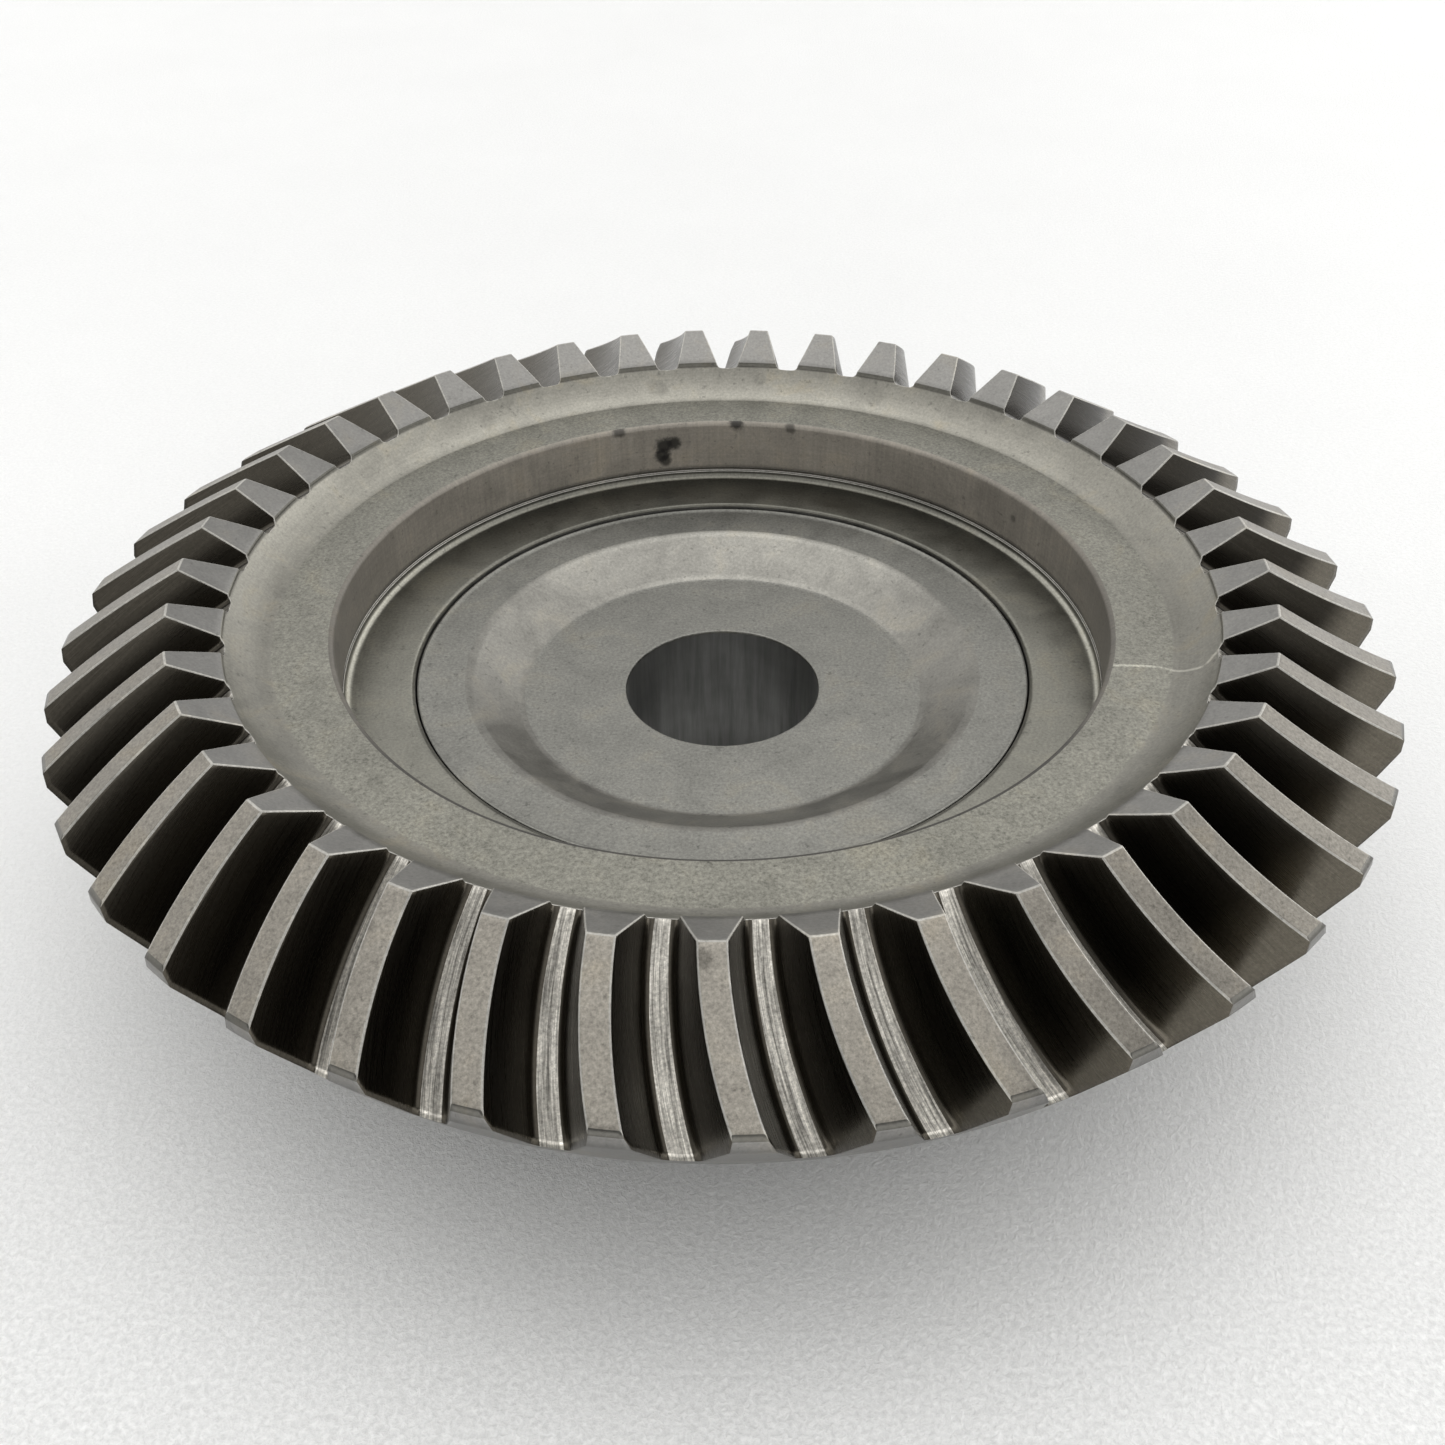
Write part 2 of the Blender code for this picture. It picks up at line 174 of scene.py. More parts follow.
def space_section(r, z):
    """(turn of the space centre, half width, distance along the face) at a meridian point."""
    t, q = root_foot(r, z)
    fr = lerp(TOE_ROOT[0], HEEL_ROOT[0], t)
    fz = lerp(TOE_ROOT[1], HEEL_ROOT[1], t)
    along = (fr - TOE[0]) * math.sin(PITCH_CONE) + (TOE[1] - fz) * math.cos(PITCH_CONE)
    share = along / FACE_WIDTH
    fall = (TOE[1] - HEEL[1]) / (HEEL[0] - TOE[0])
    level = TOE[1] - fall * (fr - TOE[0])
    depth = (level - fz) / (math.sin(PITCH_CONE) + fall * math.cos(PITCH_CONE))
    slope = lerp(FLANK_SLOPE[0], FLANK_SLOPE[1], share)
    half = lerp(HALF_SPACE[0], HALF_SPACE[1], share)
    lean = math.pi / 2.0 - math.atan(slope)
    floor = half - ROOT_FILLET * math.tan(lean / 2.0)
    top = ROOT_FILLET * (1.0 - math.cos(lean))
    if q >= top:
        width = half + slope * q
    else:
        width = floor + math.sqrt(max(0.0, ROOT_FILLET ** 2 - (ROOT_FILLET - max(q, 0.0)) ** 2))
    turn = trace(along) - ROOT_TWIST * (1.0 - q / depth)
    return turn, width, floor, along, q


def level_point(path, q):
    """Point of a meridian path, given from the root side up, at a height over the root line."""
    for a, b in zip(path, path[1:]):
        qa, qb = root_foot(*a)[1], root_foot(*b)[1]
        if (qa - q) * (qb - q) <= 0.0 and qa != qb:
            t = (q - qa) / (qb - qa)
            return (lerp(a[0], b[0], t), lerp(a[1], b[1], t))
    raise ValueError("the path does not reach that height")


def between(a, b, count):
    """Points after a up to b."""
    return [(lerp(a[0], b[0], i / count), lerp(a[1], b[1], i / count)) for i in range(1, count + 1)]


def end_points():
    """Meridian ends of every line of the tooth form at the toe and at the heel."""
    toe_path = shoulder_curve() + [TOE]
    heel_path = [RIM_REAR, CROWN_LOW]
    lean = math.pi / 2.0 - math.atan(sum(FLANK_SLOPE) / 2.0)
    levels = [ROOT_FILLET * (1.0 - math.cos(lean * i / FILLET_STEPS)) for i in range(1, FILLET_STEPS + 1)]
    toe = [level_point(toe_path, 0.0)] * (FLOOR_STEPS + 1)
    heel = [level_point(heel_path, 0.0)] * (FLOOR_STEPS + 1)
    toe += [level_point(toe_path, q) for q in levels]
    heel += [level_point(heel_path, q) for q in levels]
    toe += between(toe[-1], FACET, 1) + between(FACET, TOE, FACET_STEPS)
    heel += between(heel[-1], CROWN_LOW, BACK_STEPS) + between(CROWN_LOW, CROWN_TOP, CROWN_STEPS)
    heel += between(CROWN_TOP, HEEL, 1)
    return toe, heel


def ring_path():
    """Turned faces of the ring from the toe root inward, round the rear, to the heel root."""
    points = list(reversed(shoulder_curve()))
    low = TOE_ROOT[1] - 0.05
    points = [p for p in points if p[1] < low]
    points += [(lerp(SHOULDER_R, RECESS_R + RECESS_ROUND, i / 4), FRONT_Z) for i in (1, 2, 3)]
    points += arc((RECESS_R + RECESS_ROUND, FRONT_Z - RECESS_ROUND), RECESS_ROUND, 90.0, 180.0, 6)
    corner = RECESS_Z + RECESS_FILLET
    low = corner + RELIEF_LIFT
    high = low + RELIEF_WIDTH
    points += [(RECESS_R, high), (RECESS_R + RELIEF, high - RELIEF_SLANT)]
    points += [(RECESS_R + RELIEF, low + RELIEF_SLANT), (RECESS_R, low)]
    points += arc((RECESS_R - RECESS_FILLET, corner), RECESS_FILLET, 0.0, -90.0, 8)
    points += [(RING_BORE_R + RING_LIP[0], RECESS_Z), (RING_BORE_R, RECESS_Z - RING_LIP[1])]
    points += [(RING_BORE_R, RING_REAR_Z + EDGE), (RING_BORE_R + EDGE, RING_REAR_Z)]
    points += [(RING_BODY_R - EDGE, RING_REAR_Z), (RING_BODY_R, RING_REAR_Z + EDGE)]
    centre = (RING_BODY_R + RING_BODY_FILLET, RIM_REAR[1] - RING_BODY_FILLET)
    points += arc(centre, RING_BODY_FILLET, 180.0, 90.0, 8)
    points += [RIM_REAR]
    return points


# ---------------------------------------------------------------- ring mesh

LAND, FLANK, ROOT, FACET_FACE, SHOULDER, FRONT, WALL, FLOOR, RIM, HEEL_EDGE, WORN_EDGE = range(11)


class Sector:
    """Points of one tooth pitch, tooth in the middle, as (radius, angle, height, along, across)."""

    def __init__(self):
        self.points = []
        self.toe_ends, self.heel_ends = end_points()
        self.tip = len(self.toe_ends) - 1
        self.columns = 2 * self.tip + LAND_STEPS
        self.span = 2 * FLOOR_STEPS + LAND_STEPS
        self.main_grid()
        self.patches = [self.patch(self.toe_ends), self.patch(self.heel_ends)]
        self.rings()

    def side(self, j, r, z):
        """Angle from the space centre, and flow coordinates, of line j at a meridian point."""
        turn, width, floor, along, q = space_section(r, z)
        if j <= FLOOR_STEPS:
            width = floor * j / FLOOR_STEPS
            return turn, width / r, along, width
        return turn, width / r, along, width + q

    def row(self, j, r, z):
        """Left and right points of line j."""
        turn, wide, along, across = self.side(j, r, z)
        half = PITCH_ANGLE / 2.0
        left = (r, turn - half + wide, z, along, across)
        right = (r, turn + half - wide, z, along, -across)
        return left, right

    def across(self, left, right):
        """Points between the two sides of the tooth."""
        inner = []
        for k in range(1, LAND_STEPS):
            t = k / LAND_STEPS
            inner.append(tuple(lerp(a, b, t) for a, b in zip(left, right)))
        return inner

    def main_grid(self):
        """Spaces, flanks and land, from the toe to the heel."""
        for i in range(STATIONS + 1):
            t = i / STATIONS
            lefts, rights = [], []
            for j in range(self.tip + 1):
                r = lerp(self.toe_ends[j][0], self.heel_ends[j][0], t)
                z = lerp(self.toe_ends[j][1], self.heel_ends[j][1], t)
                left, right = self.row(j, r, z)
                lefts.append(left)
                rights.append(right)
            self.points += lefts + self.across(lefts[-1], rights[-1]) + rights[:0:-1]

    def patch(self, ends):
        """Inner points of an end face, from the root level up."""
        start = len(self.points)
        for j in range(FLOOR_STEPS, self.tip):
            left, right = self.row(j, *ends[j])
            self.points += self.across(left, right)
        return start

    def ring_angles(self, ends):
        """Angles of the full ring of points at root level."""
        lefts = [self.row(j, *ends[j])[0][1] for j in range(FLOOR_STEPS + 1)]
        rights = [self.row(j, *ends[j])[1][1] for j in range(FLOOR_STEPS + 1)]
        inner = [lerp(lefts[-1], rights[-1], k / LAND_STEPS) for k in range(1, LAND_STEPS)]
        return lefts + inner + rights[:0:-1]

    def rings(self):
        """Turned faces."""
        self.path = ring_path()
        self.ring_start = len(self.points)
        toe, heel = self.ring_angles(self.toe_ends), self.ring_angles(self.heel_ends)
        for p, (r, z) in enumerate(self.path):
            t = p / (len(self.path) - 1)
            for a, b in zip(toe, heel):
                self.points.append((r, lerp(a, b, t), z, 0.0, 0.0))

    # indices within the sector; a column past the end belongs to the next tooth

    def grid(self, s, i, c):
        """Index of a point of the main grid."""
        s, c = (s + 1, 0) if c == self.columns else (s, c)
        return (s % TOOTH_COUNT) * len(self.points) + i * self.columns + c

    def patch_row(self, s, end, j):
        """Indices across an end face at line j."""
        i = (0, STATIONS)[end]
        if j == self.tip:
            return [self.grid(s, i, self.tip + k) for k in range(LAND_STEPS + 1)]
        start = s * len(self.points) + self.patches[end] + (j - FLOOR_STEPS) * (LAND_STEPS - 1)
        inner = [start + k for k in range(LAND_STEPS - 1)]
        return [self.grid(s, i, j)] + inner + [self.grid(s, i, self.columns - j)]

    def level_row(self, s, end):
        """Indices of the full ring at root level in one sector, and the next one's first."""
        i = (0, STATIONS)[end]
        lefts = [self.grid(s, i, j) for j in range(FLOOR_STEPS)]
        middle = self.patch_row(s, end, FLOOR_STEPS)
        rights = [self.grid(s, i, self.columns - j) for j in range(FLOOR_STEPS - 1, -1, -1)]
        return lefts + middle + rights

    def ring_row(self, s, p):
        """Indices of one turned ring in one sector, and the next one's first."""
        size = len(self.points)
        row = [s * size + self.ring_start + p * self.span + k for k in range(self.span)]
        after = ((s + 1) % TOOTH_COUNT) * size + self.ring_start + p * self.span
        return row + [after]


def strip(faces, kinds, a, b, kind):
    """Quads between two rows of indices."""
    for k in range(len(a) - 1):
        faces.append((a[k], a[k + 1], b[k + 1], b[k]))
        kinds.append(kind)


def ring_zone(a, b):
    """Kind of turned face between two path points."""
    z = (a[1] + b[1]) / 2.0
    r = (a[0] + b[0]) / 2.0
    if r > RING_BODY_R - 1.0 or z < RECESS_Z - RING_LIP[1]:
        return RIM
    if r > SHOULDER_R:
        return SHOULDER
    if z > FRONT_Z - 0.01:
        return FRONT
    if z > RECESS_Z + RECESS_FILLET:
        return WALL
    return FLOOR


def sector_faces(sec, s):
    """Faces of one sector and their kinds."""
    faces, kinds = [], []
    for i in range(STATIONS):
        for c in range(sec.columns):
            j = min(c, sec.columns - 1 - c)
            kind = ROOT if j < FLOOR_STEPS else FLANK if j < sec.tip else LAND
            faces.append(
                (sec.grid(s, i, c), sec.grid(s, i, c + 1), sec.grid(s, i + 1, c + 1), sec.grid(s, i + 1, c))
            )
            kinds.append(kind)
    facet_line = FLOOR_STEPS + FILLET_STEPS + 1
    for j in range(FLOOR_STEPS, sec.tip):
        kind = FACET_FACE if j >= facet_line else SHOULDER
        strip(faces, kinds, sec.patch_row(s, 0, j), sec.patch_row(s, 0, j + 1), kind)
        kind = HEEL_EDGE if j == sec.tip - 1 else RIM
        strip(faces, kinds, sec.patch_row(s, 1, j), sec.patch_row(s, 1, j + 1), kind)
    strip(faces, kinds, sec.level_row(s, 0), sec.ring_row(s, 0), SHOULDER)
    for p in range(len(sec.path) - 1):
        kind = ring_zone(sec.path[p], sec.path[p + 1])
        strip(faces, kinds, sec.ring_row(s, p), sec.ring_row(s, p + 1), kind)
    strip(faces, kinds, sec.ring_row(s, len(sec.path) - 1), sec.level_row(s, 1), RIM)
    return faces, kinds


def ring_mesh(materials):
    """The whole toothed ring."""
    sec = Sector()
    base = np.array(sec.points)
    coords, flows, faces, kinds = [], [], [], []
    for s in range(TOOTH_COUNT):
        angle = base[:, 1] + FIRST_TOOTH_ANGLE + s * PITCH_ANGLE
        x, y = base[:, 0] * np.cos(angle), base[:, 0] * np.sin(angle)
        coords.append(np.stack([x, y, base[:, 2]], 1) * MM)
        space = np.where(base[:, 4] < 0.0, s + 1, s) % TOOTH_COUNT
        flows.append(np.stack([base[:, 3], base[:, 4], space * 7.31], 1))
        new_faces, new_kinds = sector_faces(sec, s)
        faces += new_faces
        kinds += new_kinds
    mesh = bpy.data.meshes.new("toothed_ring")
    mesh.from_pydata(np.concatenate(coords).tolist(), [], faces)
    for mat in materials:
        mesh.materials.append(mat)
    mesh.polygons.foreach_set("material_index", kinds)
    flow = mesh.attributes.new("flow", "FLOAT_VECTOR", "POINT")
    flow.data.foreach_set("vector", np.concatenate(flows).astype(np.float32).ravel())
    return mesh


def break_edges(obj, heavy, edge_material):
    """Round the sharp edges a little, most between heavy kinds; none round the heel or at a facet's foot."""
    bm = bmesh.new()
    bm.from_mesh(obj.data)
    bmesh.ops.recalc_face_normals(bm, faces=bm.faces)
    layer = bm.edges.layers.float.get("bevel_weight_edge")
    layer = layer or bm.edges.layers.float.new("bevel_weight_edge")
    for e in bm.edges:
        if len(e.link_faces) == 2 and e.calc_face_angle() > SHARP_EDGE:
            kinds = {f.material_index for f in e.link_faces}
            plain = kinds == {FACET_FACE, SHOULDER} or kinds & {RIM, HEEL_EDGE}
            e[layer] = 0.0 if plain else 1.0 if kinds <= heavy else SOFT_SHARE
    bm.to_mesh(obj.data)
    bm.free()
    mod = obj.modifiers.new("edge_break", "BEVEL")
    mod.limit_method = "WEIGHT"
    mod.width = EDGE_BREAK * MM
    mod.segments = 2
    mod.use_clamp_overlap = False
    mod.material = edge_material


def soften(obj):
    """Smooth shading that keeps broad faces flat."""
    obj.data.shade_smooth()
    mod = obj.modifiers.new("face_normals", "WEIGHTED_NORMAL")
    mod.mode = "FACE_AREA"
    mod.weight = 60


def apply_all(obj):
    """Make the modelled shape the object's own mesh."""
    bpy.context.view_layer.update()
    graph = bpy.context.evaluated_depsgraph_get()
    mesh = bpy.data.meshes.new_from_object(obj.evaluated_get(graph))
    obj.modifiers.clear()
    obj.data = mesh


def add_object(name, mesh):
    """Link a mesh to the scene."""
    obj = bpy.data.objects.new(name, mesh)
    bpy.context.scene.collection.objects.link(obj)
    return obj


def revolved(name, rows, steps, closed=True):
    """Mesh of rings of points; each row is (radius or list of radii, height)."""
    coords, faces = [], []
    for radius, z in rows:
        for k in range(steps):
            a = 2.0 * math.pi * k / steps
            r = radius[k] if isinstance(radius, list) else radius
            coords.append((r * math.cos(a) * MM, r * math.sin(a) * MM, z * MM))
    count = len(rows)
    last = count if closed else count - 1
    for i in range(last):
        for k in range(steps):
            a, b = i * steps, ((i + 1) % count) * steps
            n = (k + 1) % steps
            faces.append((a + k, a + n, b + n, b + k))
    if not closed:
        faces.append(tuple(range(steps)))
        faces.append(tuple((count - 1) * steps + k for k in range(steps)))
    mesh = bpy.data.meshes.new(name)
    mesh.from_pydata(coords, [], faces)
    bm = bmesh.new()
    bm.from_mesh(mesh)
    bmesh.ops.recalc_face_normals(bm, faces=bm.faces)
    bm.to_mesh(mesh)
    bm.free()
    return mesh


def hub_rows():
    """Hub profile from the joint at the front round the rear and up the bore."""
    bead = HUB_Z + SPIGOT_BEAD
    rows = [(SPIGOT_R - BEAD_WIDTH - BEAD_RUN_IN, HUB_Z), (SPIGOT_R - BEAD_WIDTH, bead)]
    rows += [(SPIGOT_R - BEAD_EDGE, bead), (SPIGOT_R, bead - BEAD_EDGE)]
    rows += [(SPIGOT_R, FLANGE_FRONT_Z)]
    rows += [(FLANGE_R - EDGE, FLANGE_FRONT_Z), (FLANGE_R, FLANGE_FRONT_Z - EDGE)]
    rows += [(FLANGE_R, FLANGE_REAR_Z + EDGE), (FLANGE_R - EDGE, FLANGE_REAR_Z)]
    corner = (BOSS_R + BOSS_FILLET, FLANGE_REAR_Z - BOSS_FILLET)
    rows += arc(corner, BOSS_FILLET, 90.0, 180.0, 6)
    rows += [(BOSS_R, EDGE), (BOSS_R - EDGE, 0.0), (BORE_R + BORE_CHAMFER, 0.0), (BORE_R, BORE_CHAMFER)]
    rows += [(BORE_R, lerp(BORE_CHAMFER, DISH_Z - BORE_CHAMFER, i / 6)) for i in range(1, 7)]
    rows += [(BORE_R + BORE_CHAMFER, DISH_Z)]
    slope = math.atan2(HUB_Z - DISH_Z, DISH_TOP_R - DISH_LOW_R)
    tangent = DISH_EDGE / math.tan((math.pi - slope) / 2.0)
    low = (DISH_LOW_R - tangent, DISH_Z)
    rows += [low]
    rows += blend_corner(low, (DISH_LOW_R, DISH_Z), (DISH_TOP_R, HUB_Z), tangent)
    rows += blend_corner((DISH_LOW_R, DISH_Z), (DISH_TOP_R, HUB_Z), (SPIGOT_R, HUB_Z), tangent)
    return rows


def blend_corner(before, corner, after, reach):
    """Points of a smooth bend round a corner."""
    def toward(a, b, d):
        n = math.hypot(b[0] - a[0], b[1] - a[1])
        return (lerp(a[0], b[0], d / n), lerp(a[1], b[1], d / n))

    start, end = toward(corner, before, reach), toward(corner, after, reach)
    points = []
    for i in range(1, 7):
        t = i / 6
        near = tuple(lerp(p, q, t) for p, q in zip(start, corner))
        far = tuple(lerp(p, q, t) for p, q in zip(corner, end))
        points.append(tuple(lerp(p, q, t) for p, q in zip(near, far)))
    return points


# ---------------------------------------------------------------- fasteners

def ring_places(count, offset):
    """Places round the fastener circle, in metres."""
    places = []
    for i in range(count):
        a = offset + 2.0 * math.pi * i / count
        places.append((FASTENER_R * math.cos(a) * MM, FASTENER_R * math.sin(a) * MM))
    return places


def hexagon(across_flats, steps):
    """Radii of a hexagon at evenly spaced angles."""
    radii = []
    for k in range(steps):
        a = (360.0 * k / steps) % 60.0 - 30.0
        radii.append(across_flats / 2.0 / math.cos(math.radians(a)))
    return radii


def knurl(radius, depth, steps):
    """Radii of a fluted cylinder."""
    return [radius - (depth if k % 2 else 0.0) for k in range(steps)]


def thread_radii(z):
    """Radii of the thread at one height; it deepens over about the first turn."""
    depth = THREAD_DEPTH * min(1.0, (z - THREAD_LOW_Z) / 1.2)
    radii = []
    for k in range(SCREW_SIDES):
        phase = (z / THREAD_PITCH - k / SCREW_SIDES) % 1.0
        groove = 1.0 - abs(2.0 * phase - 1.0)
        radii.append(SCREW_SHANK_R - depth * min(1.0, max(0.0, 1.25 * groove - 0.12)))
    return radii


def screw_mesh():
    """Socket-head cap screw standing on its head: socket, knurled head, threaded shank."""
    socket = hexagon(SOCKET_ACROSS_FLATS, SCREW_SIDES)
    mouth = [r + 0.35 for r in socket]
    knurled = knurl(SCREW_HEAD_R, KNURL_DEPTH, SCREW_SIDES)
    rows = [(0.6, SOCKET_FLOOR_Z + 1.0), (2.2, SOCKET_FLOOR_Z + 0.3), (socket, SOCKET_FLOOR_Z)]
    rows += [(socket, SCREW_LOW_Z + 0.3), (mouth, SCREW_LOW_Z), (SCREW_HEAD_R - 0.6, SCREW_LOW_Z)]
    rows += [(SCREW_HEAD_R - 0.3, SCREW_LOW_Z + 0.12), (SCREW_HEAD_R - 0.1, SCREW_LOW_Z + 0.5)]
    rows += [(knurled, SCREW_LOW_Z + 0.8), (knurled, HEAD_TOP_Z - 0.6)]
    rows += [(SCREW_HEAD_R - 0.1, HEAD_TOP_Z - 0.3), (SCREW_HEAD_R - 0.25, HEAD_TOP_Z)]
    rows += [(SCREW_SHANK_R + 0.4, HEAD_TOP_Z), (SCREW_SHANK_R, HEAD_TOP_Z + 0.4)]
    rows += [(SCREW_SHANK_R, THREAD_LOW_Z)]
    count = int((THREAD_TOP_Z - THREAD_LOW_Z) / THREAD_PITCH * THREAD_STEPS)
    for i in range(1, count + 1):
        z = lerp(THREAD_LOW_Z, THREAD_TOP_Z, i / count)
        rows.append((thread_radii(z), z))
    rows += [(SCREW_SHANK_R - 0.8, SCREW_TOP_Z)]
    return revolved("cap_screw", rows, SCREW_SIDES, closed=False)


def dowel_mesh():
    """Dowel pin with rounded ends."""
    low = (DOWEL_R - DOWEL_LOW_ROUND, DOWEL_LOW_Z + DOWEL_LOW_ROUND)
    top = (DOWEL_R - DOWEL_TOP_ROUND, DOWEL_TOP_Z - DOWEL_TOP_ROUND)
    rows = arc(low, DOWEL_LOW_ROUND, -90.0, 0.0, 6) + arc(top, DOWEL_TOP_ROUND, 0.0, 90.0, 6)
    return revolved("dowel_pin", rows, 64, closed=False)


def drill(obj, steps, places):
    """Cut round stepped holes; steps are (radius, low, high) upward."""
    tools = []
    rows = []
    for radius, low, high in steps:
        rows += [(radius, low), (radius, high)]
    tool = revolved("drill", rows, 48, closed=False)
    coll = bpy.data.collections.new("drills")
    bpy.context.scene.collection.children.link(coll)
    for place in places:
        cutter = bpy.data.objects.new("drill", tool)
        cutter.location = (place[0], place[1], 0.0)
        coll.objects.link(cutter)
        tools.append(cutter)
    mod = obj.modifiers.new("holes", "BOOLEAN")
    mod.operation = "DIFFERENCE"
    mod.solver = "EXACT"
    mod.operand_type = "COLLECTION"
    mod.collection = coll
    apply_all(obj)
    for cutter in tools:
        bpy.data.objects.remove(cutter)
    bpy.data.collections.remove(coll)


# ---------------------------------------------------------------- materials

RUST_TINT = (1.0, 0.93, 0.80, 1.0)

# Noise scales, per metre: fine grain, specks, clouds and patches of the ground faces
GRAIN, SPECK, CLOUD, PATCH = 2100.0, 800.0, 110.0, 30.0
MILL_GRAIN = 2200.0
TURNING = 1900.0
TABLE_SKIN, TABLE_CLOUD = 1250.0, 16.0


class Paint:
    """A Principled material and short ways to add nodes to it."""

    def __init__(self, name):
        self.mat = bpy.data.materials.new(name)
        self.mat.use_nodes = True
        self.tree = self.mat.node_tree
        self.shader = self.tree.nodes["Principled BSDF"]
        self.where = self.node("ShaderNodeTexCoord").outputs["Object"]

    def node(self, kind, inputs=None, **props):
        """Add a node; inputs are values or sockets by name or index."""
        made = self.tree.nodes.new(kind)
        for key, value in props.items():
            setattr(made, key, value)
        for key, value in (inputs or {}).items():
            self.give(made.inputs[key], value)
        return made

    def give(self, socket, value):
        """Set a socket to a value or link it."""
        if isinstance(value, bpy.types.NodeSocket):
            self.tree.links.new(value, socket)
        else:
            socket.default_value = value

    def math(self, operation, a, b=0.0, c=0.0, clamp=False):
        """Math node."""
        made = self.node("ShaderNodeMath", {0: a, 1: b, 2: c}, operation=operation, use_clamp=clamp)
        return made.outputs[0]

    def vector(self, operation, a, b=(0.0, 0.0, 0.0)):
        """Vector math node."""
        made = self.node("ShaderNodeVectorMath", {0: a, 1: b}, operation=operation)
        return made.outputs["Value" if operation in ("LENGTH", "DISTANCE", "DOT_PRODUCT") else "Vector"]

    def scaled(self, vector, scale):
        """Vector times three numbers."""
        return self.vector("MULTIPLY", vector, scale)

    def noise(self, vector, scale, detail=3.0, rough=0.55, distortion=0.0):
        """Noise value."""
        inputs = {"Vector": vector, "Scale": scale, "Detail": detail, "Roughness": rough}
        inputs["Distortion"] = distortion
        return self.node("ShaderNodeTexNoise", inputs).outputs["Fac"]

    def remap(self, value, low, high, to_low=0.0, to_high=1.0, smooth=True):
        """Map range, clamped."""
        kind = "SMOOTHSTEP" if smooth else "LINEAR"
        inputs = {"Value": value, "From Min": low, "From Max": high, "To Min": to_low, "To Max": to_high}
        return self.node("ShaderNodeMapRange", inputs, interpolation_type=kind).outputs["Result"]

    def mix(self, factor, a, b, blend="MIX"):
        """Colour mix."""
        made = self.node("ShaderNodeMix", data_type="RGBA", blend_type=blend)
        for i, value in ((0, factor), (6, a), (7, b)):
            self.give(made.inputs[i], value)
        return made.outputs[2]

    def combine(self, x, y, z):
        """Vector from three numbers."""
        return self.node("ShaderNodeCombineXYZ", {0: x, 1: y, 2: z}).outputs[0]

    def polar(self):
        """(radius in metres, unit direction in the plane, height)."""
        split = self.node("ShaderNodeSeparateXYZ", {0: self.where})
        flat = self.combine(split.outputs[0], split.outputs[1], 0.0)
        return self.vector("LENGTH", flat), self.vector("NORMALIZE", flat), split.outputs[2]

    def flow(self):
        """(along, across, space number) of the tooth form, along and across in millimetres."""
        made = self.node("ShaderNodeAttribute", attribute_name="flow")
        split = self.node("ShaderNodeSeparateXYZ", {0: made.outputs["Vector"]})
        return split.outputs[0], split.outputs[1], split.outputs[2]

    def bump(self, height, strength, distance, normal=None):
        """Bump; distance is in millimetres."""
        inputs = {"Height": height, "Strength": strength, "Distance": distance * MM}
        if normal is not None:
            inputs["Normal"] = normal
        return self.node("ShaderNodeBump", inputs).outputs["Normal"]

    def scratch(self, start, end, width):
        """Mask of a thin wandering line between two places of the plane, in millimetres."""
        span = (end[0] - start[0], end[1] - start[1])
        length = math.hypot(*span)
        unit = (span[0] / length, span[1] / length, 0.0)
        shift = self.vector("SUBTRACT", self.where, (start[0] * MM, start[1] * MM, 0.0))
        run = self.vector("DOT_PRODUCT", shift, unit)
        wander = self.math("MULTIPLY_ADD", self.noise(self.where, 160.0, 2.0), 1.2 * MM, -0.6 * MM)
        off = self.math("ADD", self.vector("DOT_PRODUCT", shift, (-unit[1], unit[0], 0.0)), wander)
        line = self.remap(self.math("ABSOLUTE", off), 0.2 * width * MM, width * MM, 1.0, 0.0)
        head = self.remap(run, -0.2 * MM, 0.6 * MM)
        tail = self.remap(run, (length - 0.6) * MM, (length + 0.2) * MM, 1.0, 0.0)
        return self.math("MULTIPLY", line, self.math("MULTIPLY", head, tail))

    def spot(self, place, radius, ragged=0.7):
        """Mask of a ragged spot round a place, in millimetres."""
        wobble = self.noise(self.where, 620.0, 4.0, 0.7)
        centre = tuple(v * MM for v in place)
        distance = self.vector("DISTANCE", self.where, centre)
        reach = self.math("MULTIPLY_ADD", wobble, radius * ragged * 2.0 * MM, radius * (1.0 - ragged) * MM)
        share = self.math("DIVIDE", distance, reach)
        return self.remap(share, 0.45, 1.1, 1.0, 0.0)


def steel(name, colour, rough, metallic=1.0):
    """Start a steel paint with its constants set."""
    paint = Paint(name)
    paint.shader.inputs["Metallic"].default_value = metallic
    paint.colour = (*colour, 1.0)
    paint.rough = rough
    return paint


def finish_paint(paint, tone, rough_add, heights):
    """Wire tone, roughness and bump; tone multiplies the base colour."""
    grey = paint.combine(tone, tone, tone)
    colour = paint.mix(1.0, paint.colour, grey, "MULTIPLY")
    if hasattr(paint, "tint"):
        colour = paint.mix(paint.tint[0], colour, paint.tint[1], "MULTIPLY")
    paint.give(paint.shader.inputs["Base Color"], colour)
    rough = paint.math("ADD", rough_add, paint.rough, clamp=True)
    paint.give(paint.shader.inputs["Roughness"], rough)
    normal = None
    for height, strength, distance in heights:
        normal = paint.bump(height, strength, distance, normal)
    if normal is not None:
        paint.give(paint.shader.inputs["Normal"], normal)
    return paint.mat


def product(paint, values):
    """Product of several numbers."""
    total = values[0]
    for value in values[1:]:
        total = paint.math("MULTIPLY", total, value)
    return total


def along_axis(paint, axis, low, high, to_low, to_high):
    """Number that runs with the place along an axis, between two places in millimetres."""
    split = paint.node("ShaderNodeSeparateXYZ", {0: paint.where})
    return paint.remap(split.outputs[axis], low * MM, high * MM, to_low, to_high)


